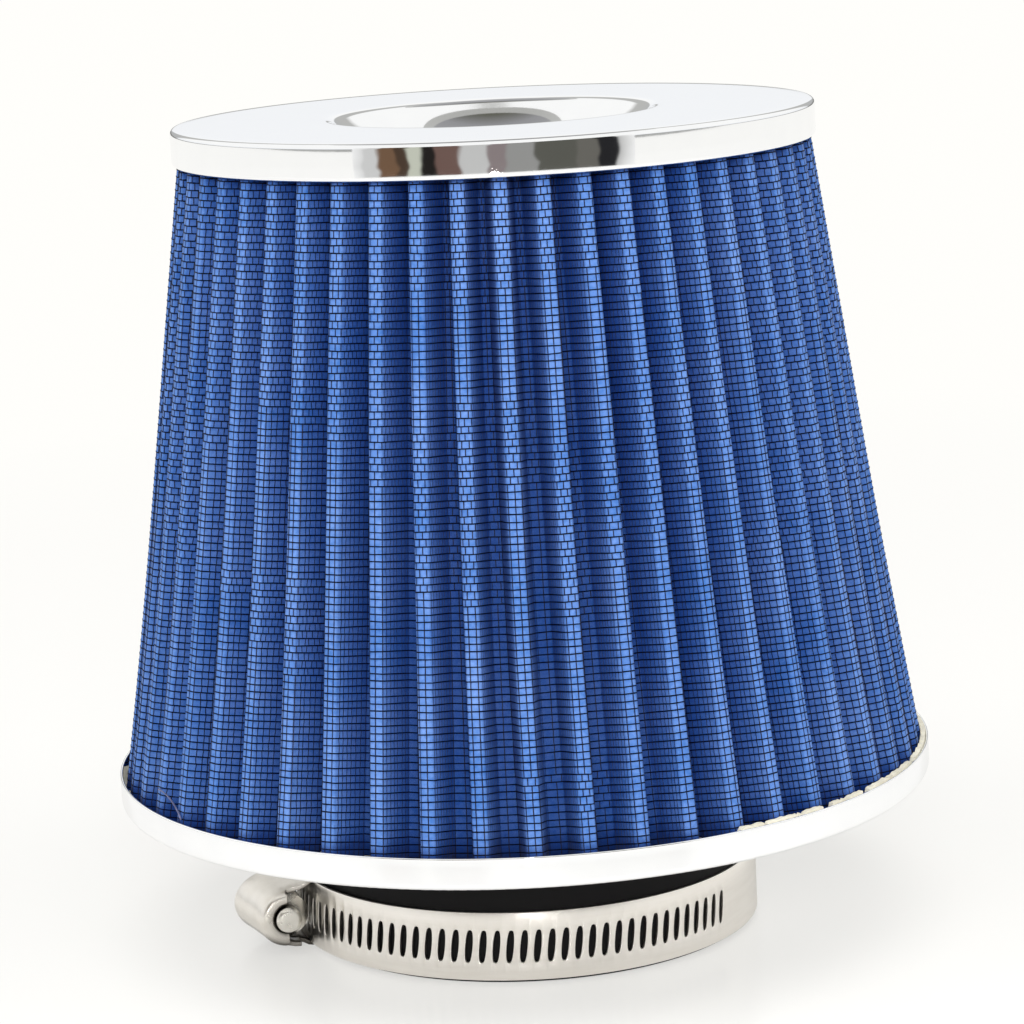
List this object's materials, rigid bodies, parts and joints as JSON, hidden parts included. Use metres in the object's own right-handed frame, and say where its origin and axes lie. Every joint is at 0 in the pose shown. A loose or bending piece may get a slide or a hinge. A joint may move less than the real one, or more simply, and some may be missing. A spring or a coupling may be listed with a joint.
{
  "type": "cone air filter",
  "caption": "Tapered pleated air filter with a dished chrome cap, a chrome base pan, and a rubber inlet neck that a worm-drive band clamp tightens onto an intake pipe.",
  "frame": {"origin": "centre of the inlet bore at the open end of the rubber neck", "axes": "+Z along the filter axis towards the cap, -Y towards the front of the picture, the clamp housing near -X"},
  "size_m": [0.153, 0.153, 0.1535],
  "materials": {
    "chrome": "polished chrome plate",
    "potting": "cast cream compound",
    "screen": "black coated woven wire",
    "media": "blue pleated filter cloth",
    "neck_rubber": "moulded black rubber",
    "stainless": "rolled stainless strip",
    "screw_steel": "bright plated steel"
  },
  "bodies": {
    "filter": {"end_cap": "chrome", "cap_potting": "potting", "outer_mesh": "screen", "filter_media": "media", "inner_mesh": "screen", "base_ring": "chrome", "base_potting": "potting", "inlet_neck": "neck_rubber", "clamp_band": "stainless", "clamp_housing": "stainless"},
    "clamp_screw": {"clamp_screw": "screw_steel"}
  },
  "joints": [
    {"name": "screw_turn", "type": "hinge", "parent": "filter", "child": "clamp_screw", "pos_m": [-0.04725, -0.01266, 0.00705], "axis": [-0.2588, 0.9659, 0], "continuous": true}
  ]
}
